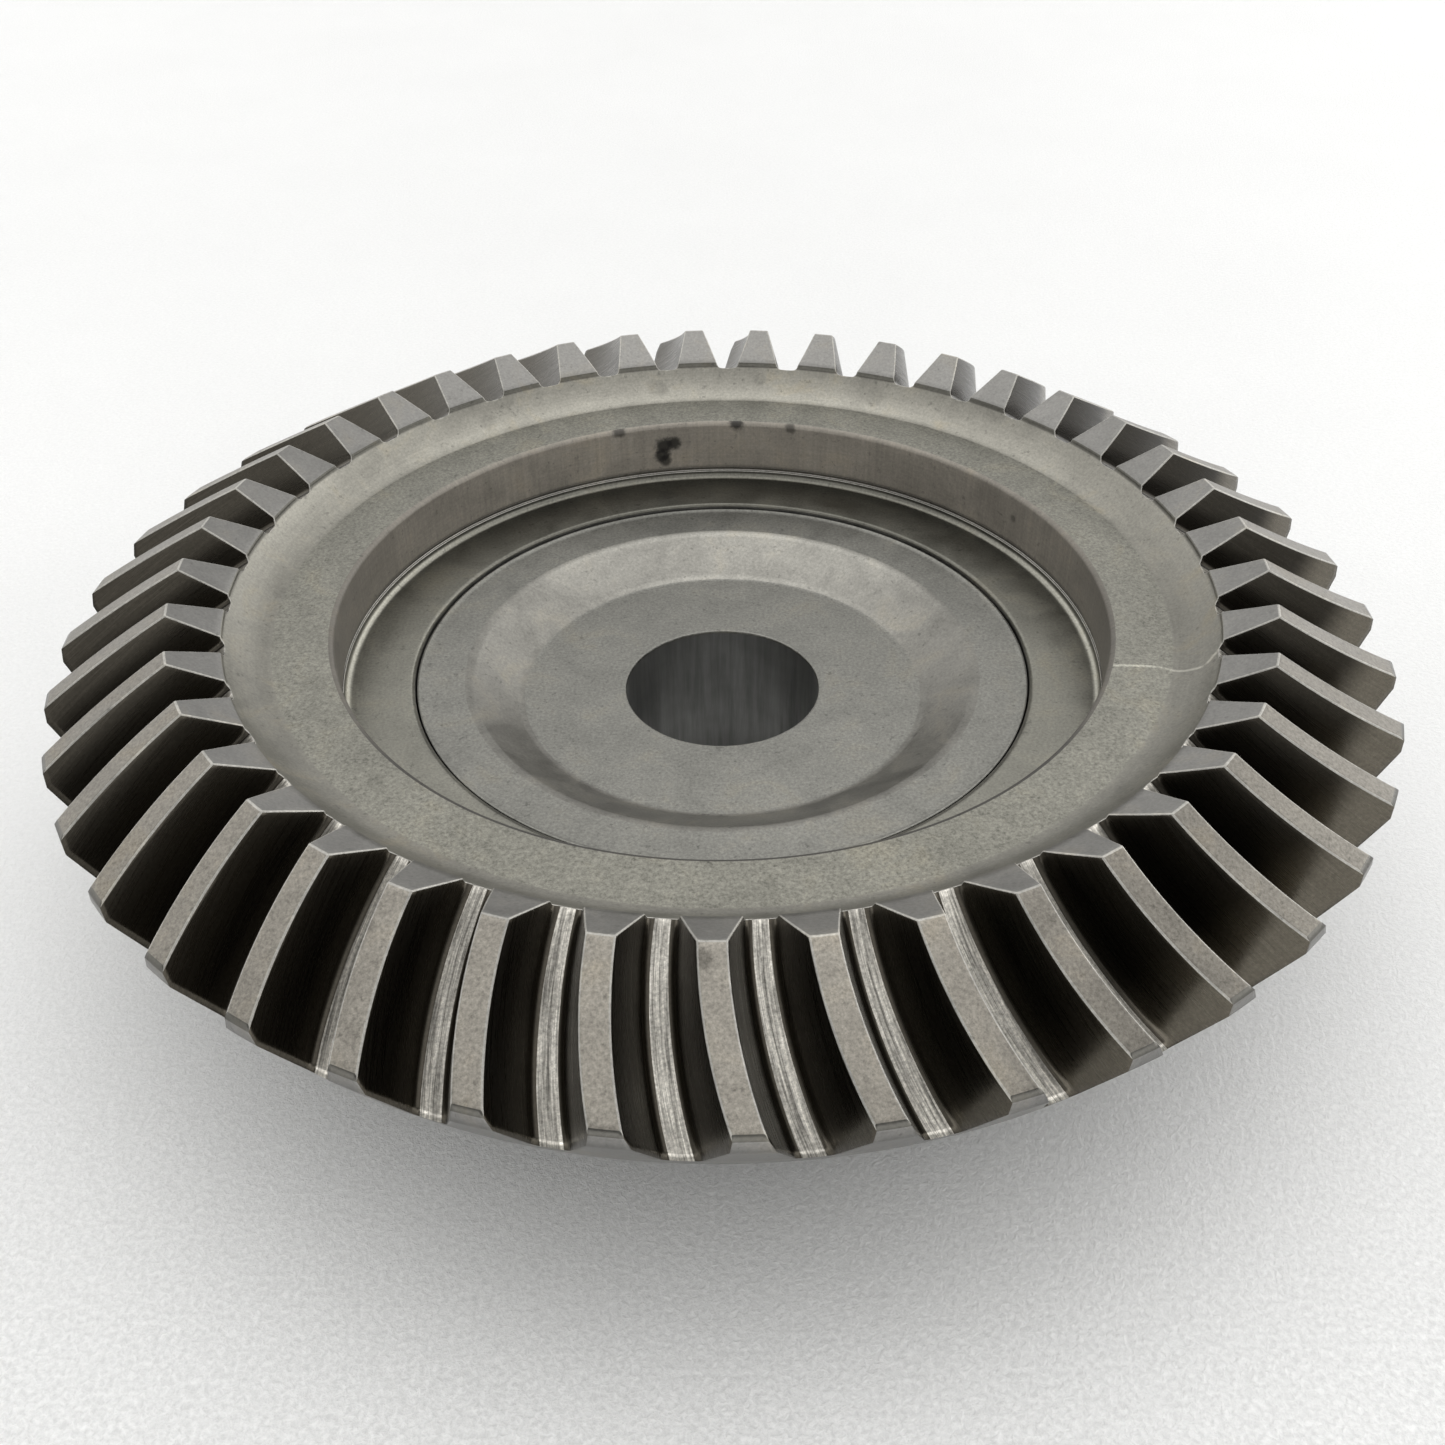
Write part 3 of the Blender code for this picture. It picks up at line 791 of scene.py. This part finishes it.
def ground_steel(name, colour, rough, grain=0.2, mottle=0.16, turning=0.0, pits=0.3, stains=(),
                 metallic=1.0, shade=None, rust=0.35):
    """Satin steel with fine grain, cloudy brownish mottling, pits, turning rings and stains."""
    paint = steel(name, colour, rough, metallic)
    fine = paint.noise(paint.where, GRAIN, 4.0, 0.75)
    speck = paint.noise(paint.where, SPECK, 3.0, 0.6)
    cloud = paint.noise(paint.where, CLOUD, 5.0, 0.65, 0.8)
    patch = paint.noise(paint.where, PATCH, 3.0, 0.6, 1.0)
    values = [
        paint.remap(fine, 0.3, 0.7, 1.0 - grain, 1.0 + grain, False),
        paint.remap(cloud, 0.3, 0.7, 1.0 - mottle, 1.0 + mottle, False),
        paint.remap(patch, 0.3, 0.7, 1.0 - mottle * 0.5, 1.0 + mottle * 0.5, False),
        paint.remap(speck, 0.62, 0.72, 1.0, 1.0 - pits),
    ]
    heights = [(fine, 0.5, 0.02), (speck, 0.4, 0.02)]
    if turning:
        radius, direction, height = paint.polar()
        level = paint.math("ADD", radius, height)
        around = paint.scaled(direction, (1.2, 1.2, 0.0))
        rings = paint.vector("ADD", around, paint.combine(0.0, 0.0, paint.math("MULTIPLY", level, TURNING)))
        lines = paint.noise(rings, 1.0, 3.0, 0.6)
        values.append(paint.remap(lines, 0.3, 0.7, 1.0 - turning, 1.0 + turning, False))
        heights.append((lines, 0.3, 0.012))
    for place, radius, dark in stains:
        mask = paint.spot(place, radius)
        values.append(paint.math("MULTIPLY_ADD", mask, -dark, 1.0))
    # Painted light and shade of the face, and a scratch on some, from its shade function
    if shade:
        values += shade(paint)
    paint.tint = (paint.remap(cloud, 0.52, 0.72, 0.0, rust), RUST_TINT)
    rough_add = paint.remap(cloud, 0.3, 0.7, -0.06, 0.08, False)
    return finish_paint(paint, product(paint, values), rough_add, heights)


def milled_steel(name, colour, rough, streak, fine_lines, grainy, bump, shade=None):
    """Cut tooth surface with streaks along the tooth."""
    paint = steel(name, colour, rough)
    along, across, space = paint.flow()
    coarse = paint.combine(
        paint.math("MULTIPLY", along, 0.09), paint.math("MULTIPLY", across, 2.1), space
    )
    fine = paint.combine(
        paint.math("MULTIPLY", along, 0.22), paint.math("MULTIPLY", across, 7.5), space
    )
    broad = paint.noise(coarse, 1.0, 3.0, 0.6, 0.25)
    thin = paint.noise(fine, 1.0, 3.0, 0.65)
    grain = paint.noise(paint.where, MILL_GRAIN, 4.0, 0.75)
    values = [
        paint.remap(broad, 0.32, 0.62, 1.0 - streak, 1.0 + streak * 0.4, False),
        paint.remap(thin, 0.3, 0.7, 1.0 - fine_lines, 1.0 + fine_lines, False),
        paint.remap(grain, 0.3, 0.7, 1.0 - grainy, 1.0 + grainy, False),
    ]
    # Painted light and shade of the face, from its shade function
    if shade:
        values += shade(paint)
    rough_add = paint.remap(broad, 0.3, 0.7, 0.06, -0.05, False)
    heights = [(thin, 0.5, bump), (broad, 0.5, bump * 2.0), (grain, 0.4, bump)]
    return finish_paint(paint, product(paint, values), rough_add, heights)


def bore_steel(name, colour, rough):
    """Reamed bore with streaks along the axis."""
    paint = steel(name, colour, rough)
    direction, height = paint.polar()[1:]
    around = paint.scaled(direction, (9.0, 9.0, 0.0))
    down = paint.combine(0.0, 0.0, paint.math("MULTIPLY", height, 40.0))
    streaks = paint.noise(paint.vector("ADD", around, down), 1.0, 4.0, 0.65)
    blotch = paint.noise(paint.where, 120.0, 3.0)
    values = [
        paint.remap(streaks, 0.3, 0.7, 0.7, 1.15, False),
        paint.remap(blotch, 0.3, 0.7, 0.85, 1.1, False),
    ]
    rough_add = paint.remap(streaks, 0.3, 0.7, 0.08, -0.05, False)
    return finish_paint(paint, product(paint, values), rough_add, [(streaks, 0.4, 0.02)])


def table_paint():
    """Pale table with a fine leathery texture that fades toward the back."""
    paint = Paint("pale_table")
    cloud = paint.noise(paint.where, TABLE_CLOUD, 4.0, 0.6)
    skin = paint.noise(paint.where, TABLE_SKIN, 4.0, 0.7, 0.4)
    near = along_axis(paint, Y, -130.0, 0.0, 1.0, 0.3)
    swing = paint.remap(skin, 0.34, 0.66, -0.14, 0.12, False)
    tone = product(paint, [
        paint.remap(cloud, 0.3, 0.7, 0.985, 1.01, False),
        # Painted shade: the table darkens a little toward the far back
        along_axis(paint, Y, 50.0, 300.0, 1.0, 0.965),
        paint.math("MULTIPLY_ADD", swing, near, 1.0),
    ])
    grey = paint.combine(tone, tone, tone)
    colour = paint.mix(1.0, (0.775, 0.775, 0.765, 1.0), grey, "MULTIPLY")
    paint.give(paint.shader.inputs["Base Color"], colour)
    paint.shader.inputs["Roughness"].default_value = 0.5
    paint.give(paint.shader.inputs["Normal"], paint.bump(skin, 0.7, 0.3))
    return paint.mat


# ---------------------------------------------------------------- stains, and painted light and shade

# (place, radius, darkness)
WALL_STAINS = (
    ((-10.9, 59.9, 40.2), 2.0, 0.88),
    ((-8.9, 60.5, 40.6), 1.5, 0.85),
    ((-11.2, 60.1, 38.2), 1.7, 0.85),
    ((-10.5, 60.2, 37.0), 1.4, 0.8),
    ((3.2, 61.4, 44.3), 1.7, 0.85),
    ((-19.2, 58.4, 44.2), 1.5, 0.7),
    ((13.4, 60.0, 43.8), 1.2, 0.6),
    ((52.0, 32.0, 40.0), 0.8, 0.5),
)
FRONT_STAINS = (
    ((-66.0, -3.0, 44.5), 2.2, 0.12),
    ((-61.0, -22.0, 44.5), 2.6, 0.12),
    ((-48.0, -45.0, 44.5), 2.0, 0.14),
    ((6.0, -66.0, 44.5), 1.3, 0.16),
    ((38.0, -54.0, 44.5), 1.6, 0.14),
    ((58.0, 31.0, 44.5), 1.8, 0.12),
)
LAND_STAINS = (
    ((-2.6, -86.6, 52.3), 1.7, 0.4),
    ((17.5, -85.6, 52.0), 1.3, 0.45),
    ((-43.0, -79.0, 50.3), 1.8, 0.35),
    ((-70.0, -58.0, 49.3), 2.4, 0.3),
    ((49.0, -78.0, 48.9), 1.4, 0.3),
)
SHOULDER_STAINS = (
    ((-12.0, 73.0, 46.0), 2.4, 0.2),
    ((8.0, 74.5, 47.0), 1.6, 0.18),
    ((30.0, 68.0, 46.5), 2.6, 0.16),
    ((-44.0, 59.0, 46.5), 2.2, 0.16),
)
SCRATCH = ((58.4, -19.0), (66.5, -20.0), (71.5, -22.6), (75.0, -20.0))
SCRATCH_WIDTH = 0.42
SCRATCH_LIGHT = 0.9

# Painted shade on the rounded lip of the recess, on the viewer's side
LIP_SHADE_FROM, LIP_SHADE_TO, LIP_SHADE = -45.0, -25.0, 0.65


def scratches(paint):
    """Light line scratched across the front face and the shoulder."""
    total = paint.scratch(*SCRATCH[:2], SCRATCH_WIDTH)
    for start, end in zip(SCRATCH[1:], SCRATCH[2:]):
        total = paint.math("MAXIMUM", total, paint.scratch(start, end, SCRATCH_WIDTH))
    return paint.math("MULTIPLY_ADD", total, SCRATCH_LIGHT, 1.0)


def shaded_lip(paint, lip):
    """Tone of the recess lip, with painted shade on the viewer's side."""
    near = along_axis(paint, Y, LIP_SHADE_FROM, LIP_SHADE_TO, LIP_SHADE, 0.0)
    return paint.math("SUBTRACT", 1.0, paint.math("MULTIPLY", lip, near))


def wall_shade(paint):
    """Painted shade toward the viewer's side and painted light at the back, faint chatter marks, painted
    shade in the relief at the foot, painted shade on the lip.
    """
    chatter = paint.noise(paint.scaled(paint.polar()[1], (90.0, 90.0, 0.0)), 1.0, 3.0, 0.6)
    foot = RECESS_Z + RECESS_FILLET + RELIEF_LIFT + RELIEF_WIDTH + RELIEF_SLANT
    return [
        along_axis(paint, Y, -20.0, 60.0, 0.50, 1.12),
        paint.remap(chatter, 0.3, 0.7, 0.90, 1.08, False),
        shaded_lip(paint, along_axis(paint, Z, FRONT_Z - 0.5, FRONT_Z - 0.2, 0.0, 1.0)),
        # Painted shade in the relief at the foot of the wall
        along_axis(paint, Z, foot - 0.4, foot + 0.6, 0.3, 1.0),
    ]


def front_shade(paint):
    """Painted shade on the recess lip, and a scratch."""
    lip = paint.remap(paint.polar()[0], (RECESS_R + 0.75) * MM, (RECESS_R + 0.55) * MM)
    return [shaded_lip(paint, lip), scratches(paint)]


def shoulder_shade(paint):
    """Painted light at the back, with a painted dark line at the foot of the tooth facets there."""
    # Painted shade on the riser at the foot of the facets, on the back half
    riser = along_axis(paint, Z, SHOULDER_END[1] - 0.35, SHOULDER_END[1] - 0.05, 0.0, 0.6)
    rear = along_axis(paint, Y, -20.0, 20.0, 0.0, 1.0)
    line = paint.math("SUBTRACT", 1.0, paint.math("MULTIPLY", riser, rear))
    return [along_axis(paint, Y, -10.0, 65.0, 0.86, 1.28), line, scratches(paint)]


def land_shade(paint):
    """Painted light on the viewer's side, painted shade to the left and right."""
    return [
        along_axis(paint, Y, -85.0, -20.0, 1.0, 0.78),
        along_axis(paint, X, -90.0, -30.0, 0.72, 1.0),
        along_axis(paint, X, 15.0, 60.0, 1.0, 0.66),
    ]


def facet_shade(paint):
    """Painted shade to the left."""
    return [along_axis(paint, X, -90.0, -30.0, 0.80, 1.0)]


def flank_shade(paint):
    """Painted shade on the left; on the right painted shade along the toe and a painted sheen at the heel.
    """
    # Painted shade along the toe and a painted sheen at the heel, on the right-hand flanks
    wear_and_sheen = paint.remap(paint.flow()[0], 12.5, 19.5, -0.62, 0.7)
    right = along_axis(paint, X, 20.0, 70.0, 0.0, 1.0)
    return [
        along_axis(paint, X, -100.0, -50.0, 0.5, 1.0),
        paint.math("MULTIPLY_ADD", wear_and_sheen, right, 1.0),
    ]


def floor_shade(paint):
    """Painted shade at the back; a painted highlight at the foot of the fillet and painted shade above it.
    """
    return [
        along_axis(paint, Y, 0.0, 50.0, 1.0, 0.68),
        along_axis(paint, Z, RECESS_Z + 0.02, RECESS_Z + 0.12, 1.0, 1.7),
        along_axis(paint, Z, RECESS_Z + 0.3, RECESS_Z + 0.9, 1.0, 0.35),
    ]


def cone_shade(paint):
    """Painted light at the back, painted shade from the middle forward, a touch of painted light again in
    front.
    """
    return [along_axis(paint, Y, -8.0, 40.0, 0.78, 1.18), along_axis(paint, Y, -36.0, -4.0, 1.04, 1.0)]


def hub_shade(paint):
    """Painted shade along the back edge."""
    return [along_axis(paint, Y, 36.0, 48.0, 1.0, 0.70)]


def ring_paints():
    """Materials of the ring in the order of its face kinds."""
    land = ground_steel(
        "ground_tooth_land", (0.30, 0.280, 0.243), rough=0.42, grain=0.36, mottle=0.14,
        stains=LAND_STAINS, shade=land_shade
    )
    # The flank's near-black base colour is painted shade; the flanks are the same steel as the roots
    flank = milled_steel(
        "cut_tooth_flank", (0.080, 0.072, 0.058), rough=0.28, streak=0.10, fine_lines=0.06,
        grainy=0.20, bump=0.004, shade=flank_shade
    )
    root = milled_steel(
        "cut_tooth_root", (0.56, 0.535, 0.48), rough=0.38, streak=0.65, fine_lines=0.38,
        grainy=0.45, bump=0.04
    )
    facet = ground_steel(
        "ground_toe_facet", (0.215, 0.21, 0.197), rough=0.38, grain=0.18, mottle=0.14, pits=0.2,
        shade=facet_shade
    )
    shoulder = ground_steel(
        "turned_shoulder", (0.230, 0.222, 0.193), rough=0.40, grain=0.20, mottle=0.16, turning=0.05,
        stains=SHOULDER_STAINS, shade=shoulder_shade, rust=0.6
    )
    front = ground_steel(
        "ground_front_face", (0.207, 0.202, 0.173), rough=0.43, grain=0.42, mottle=0.13,
        stains=FRONT_STAINS, shade=front_shade
    )
    wall = ground_steel(
        "turned_recess_wall", (0.235, 0.215, 0.182), rough=0.55, grain=0.16, mottle=0.18,
        turning=0.05, stains=WALL_STAINS, metallic=0.35, shade=wall_shade
    )
    floor = ground_steel(
        "turned_recess_floor", (0.205, 0.20, 0.172), rough=0.38, grain=0.24, mottle=0.14,
        turning=0.04, shade=floor_shade
    )
    rim = ground_steel(
        "turned_rim", (0.23, 0.225, 0.215), rough=0.40, grain=0.15, mottle=0.14, turning=0.06
    )
    # The heel chamfer's dark base colour is painted shade; it is the same steel as the rim
    heel = ground_steel("heel_edge", (0.12, 0.116, 0.104), rough=0.30, grain=0.15, mottle=0.14)
    wear_and_sheen = ground_steel("worn_edge", (0.38, 0.37, 0.34), rough=0.50, grain=0.25, mottle=0.20)
    return [land, flank, root, facet, shoulder, front, wall, floor, rim, heel, wear_and_sheen]


HUB_FACE, HUB_BORE, HUB_CONE = range(3)


def hub_paints():
    """Materials of the hub in the order of its face kinds."""
    face = ground_steel(
        "turned_hub_face", (0.210, 0.207, 0.187), rough=0.40, grain=0.30, mottle=0.13,
        turning=0.02, shade=hub_shade
    )
    bore = bore_steel("reamed_bore", (0.30, 0.30, 0.29), rough=0.45)
    cone = ground_steel(
        "turned_dish_cone", (0.235, 0.228, 0.205), rough=0.37, grain=0.22, mottle=0.24,
        turning=0.02, shade=cone_shade
    )
    return [face, bore, cone]


# ---------------------------------------------------------------- assembly

def build_ring():
    """Toothed ring in place of its CAD node."""
    ring = add_object("toothed_ring", ring_mesh(ring_paints()))
    break_edges(ring, {LAND, FLANK, FACET_FACE}, WORN_EDGE)
    soften(ring)
    apply_all(ring)
    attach(ring, "root")
    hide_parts("crown_gear_ring")
    return ring


def hub_kinds(mesh):
    """Give the bore and the cone of the dish their own materials."""
    for poly in mesh.polygons:
        centre = poly.center
        radius = math.hypot(centre.x, centre.y) / MM
        on_cone = DISH_LOW_R - 1.0 < radius < DISH_TOP_R + 1.0 and centre.z / MM > DISH_Z + 0.05
        if radius < BORE_R + 0.05:
            poly.material_index = HUB_BORE
        elif on_cone:
            poly.material_index = HUB_CONE
        else:
            poly.material_index = HUB_FACE


def build_hub():
    """Centre hub in place of its CAD node."""
    mesh = revolved("hub_body", hub_rows(), 384)
    for mat in hub_paints():
        mesh.materials.append(mat)
    hub_kinds(mesh)
    hub = add_object("hub_body", mesh)
    break_edges(hub, {HUB_FACE, HUB_BORE, HUB_CONE}, HUB_FACE)
    soften(hub)
    apply_all(hub)
    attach(hub, "root")
    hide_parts("centre_hub")
    return hub


def build_fasteners():
    """Screws and dowels in place of their CAD nodes."""
    screw = screw_mesh()
    screw.materials.append(
        ground_steel("black_oxide", (0.05, 0.05, 0.055), rough=0.42, grain=0.1, mottle=0.1, metallic=0.9)
    )
    screw.shade_smooth()
    screw.set_sharp_from_angle(angle=math.radians(35.0))
    for i, place in enumerate(ring_places(SCREW_COUNT, 0.0)):
        obj = add_object("socket_screw_%02d" % (i + 1), screw)
        obj.location = (place[0], place[1], 0.0)
        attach(obj, "root")
        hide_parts("cap_screw_%02d" % (i + 1))
    dowel = dowel_mesh()
    dowel.materials.append(
        ground_steel("ground_dowel", (0.6, 0.6, 0.59), rough=0.25, grain=0.03, mottle=0.04)
    )
    dowel.shade_smooth()
    for i, place in enumerate(ring_places(2, math.pi / SCREW_COUNT)):
        obj = add_object("hardened_dowel_%d" % (i + 1), dowel)
        obj.location = (place[0], place[1], 0.0)
        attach(obj, "root")
        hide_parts("dowel_pin_%d" % (i + 1))


def drill_holes(ring, hub):
    """Screw and dowel holes of the ring and the hub."""
    screws = ring_places(SCREW_COUNT, 0.0)
    dowels = ring_places(2, math.pi / SCREW_COUNT)
    below, above = FLANGE_REAR_Z - DRILL_OVERLAP, FLANGE_FRONT_Z + DRILL_OVERLAP
    behind = RING_REAR_Z - DRILL_OVERLAP
    drill(hub, [(COUNTERBORE_R, below, COUNTERBORE_Z), (HOLE_R, COUNTERBORE_Z, above)], screws)
    drill(hub, [(HOLE_R, below, above)], dowels)
    drill(ring, [(HOLE_R, behind, TAPPED_HOLE_Z)], screws)
    drill(ring, [(HOLE_R, behind, DOWEL_HOLE_Z)], dowels)


TABLE_HALF_SIZE = 3.0


def build_floor():
    """Pale table."""
    size = TABLE_HALF_SIZE
    mesh = bpy.data.meshes.new("table_top")
    corners = [(-size, -size, 0.0), (size, -size, 0.0), (size, size, 0.0), (-size, size, 0.0)]
    mesh.from_pydata(corners, [], [(0, 1, 2, 3)])
    mesh.materials.append(table_paint())
    add_object("table_top", mesh)


# Light from the surround: (from, to, strength) along the height, the depth and the width
SKY_TOP = (0.60, 0.96, 1.08)
SKY_BACK = (-0.40, 0.45, 0.96)
SKY_LOW = (0.66, 0.42, 1.0)
SKY_NEAR = (-0.05, -0.60, 1.55)
SKY_RIGHT = (0.05, 0.70, 1.65)
SKY_LEFT = (-0.05, -0.70, 0.80)
SKY_LEAST = 0.06


def build_world():
    """Soft grey surround: brightest overhead and behind, with a low band of light in front and aside."""
    world = bpy.data.worlds.new("soft_surround")
    bpy.context.scene.world = world
    world.use_nodes = True
    tree = world.node_tree

    def node(kind, inputs, **props):
        made = tree.nodes.new(kind)
        for key, value in props.items():
            setattr(made, key, value)
        for key, value in inputs.items():
            if isinstance(value, bpy.types.NodeSocket):
                tree.links.new(value, made.inputs[key])
            else:
                made.inputs[key].default_value = value
        return made.outputs[0]

    def rise(value, low, high, top):
        limits = {"Value": value, "From Min": low, "From Max": high, "To Min": 0.0, "To Max": top}
        return node("ShaderNodeMapRange", limits, interpolation_type="SMOOTHSTEP")

    where = tree.nodes.new("ShaderNodeTexCoord").outputs["Generated"]
    split = tree.nodes.new("ShaderNodeSeparateXYZ")
    tree.links.new(where, split.inputs[0])
    overhead = rise(split.outputs["Z"], *SKY_TOP)
    behind = rise(split.outputs["Y"], *SKY_BACK)
    band = rise(split.outputs["Z"], *SKY_LOW)
    aside = node("ShaderNodeMath", {
        0: rise(split.outputs["X"], *SKY_LEFT), 1: rise(split.outputs["X"], *SKY_RIGHT)
    }, operation="MAXIMUM")
    round_about = node("ShaderNodeMath", {
        0: rise(split.outputs["Y"], *SKY_NEAR), 1: aside
    }, operation="MAXIMUM")
    low_light = node("ShaderNodeMath", {0: round_about, 1: band}, operation="MULTIPLY")
    total = node("ShaderNodeMath", {0: overhead, 1: behind}, operation="ADD")
    total = node("ShaderNodeMath", {0: total, 1: low_light}, operation="ADD")
    total = node("ShaderNodeMath", {0: total, 1: SKY_LEAST}, operation="ADD")
    tree.links.new(total, tree.nodes["Background"].inputs["Strength"])
    tree.nodes["Background"].inputs["Color"].default_value = (1.0, 1.0, 1.0, 1.0)


CAMERA_LENS = 39.405
CAMERA_PLACE = (0.0, -0.2131, 0.1837)
CAMERA_TURN = (52.3577, 0.3790, -0.2864)


def build_camera():
    """Camera at the viewing angle, in metres and degrees."""
    data = bpy.data.cameras.new("viewer")
    data.sensor_width = 36.0
    data.lens = CAMERA_LENS
    data.clip_start = 0.01
    camera = bpy.data.objects.new("viewer", data)
    camera.location = CAMERA_PLACE
    camera.rotation_euler = tuple(math.radians(v) for v in CAMERA_TURN)
    bpy.context.scene.collection.objects.link(camera)
    bpy.context.scene.camera = camera


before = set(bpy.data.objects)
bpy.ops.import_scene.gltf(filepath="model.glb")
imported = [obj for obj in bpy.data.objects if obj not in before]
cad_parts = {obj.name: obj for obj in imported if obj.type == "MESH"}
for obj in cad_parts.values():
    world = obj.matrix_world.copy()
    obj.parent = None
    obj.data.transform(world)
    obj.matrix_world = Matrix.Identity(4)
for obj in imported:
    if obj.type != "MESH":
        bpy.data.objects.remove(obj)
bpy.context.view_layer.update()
bpy.context.scene.view_settings.view_transform = "Standard"
build_camera()
build_world()
build_floor()
ring_object = build_ring()
hub_object = build_hub()
drill_holes(ring_object, hub_object)
build_fasteners()
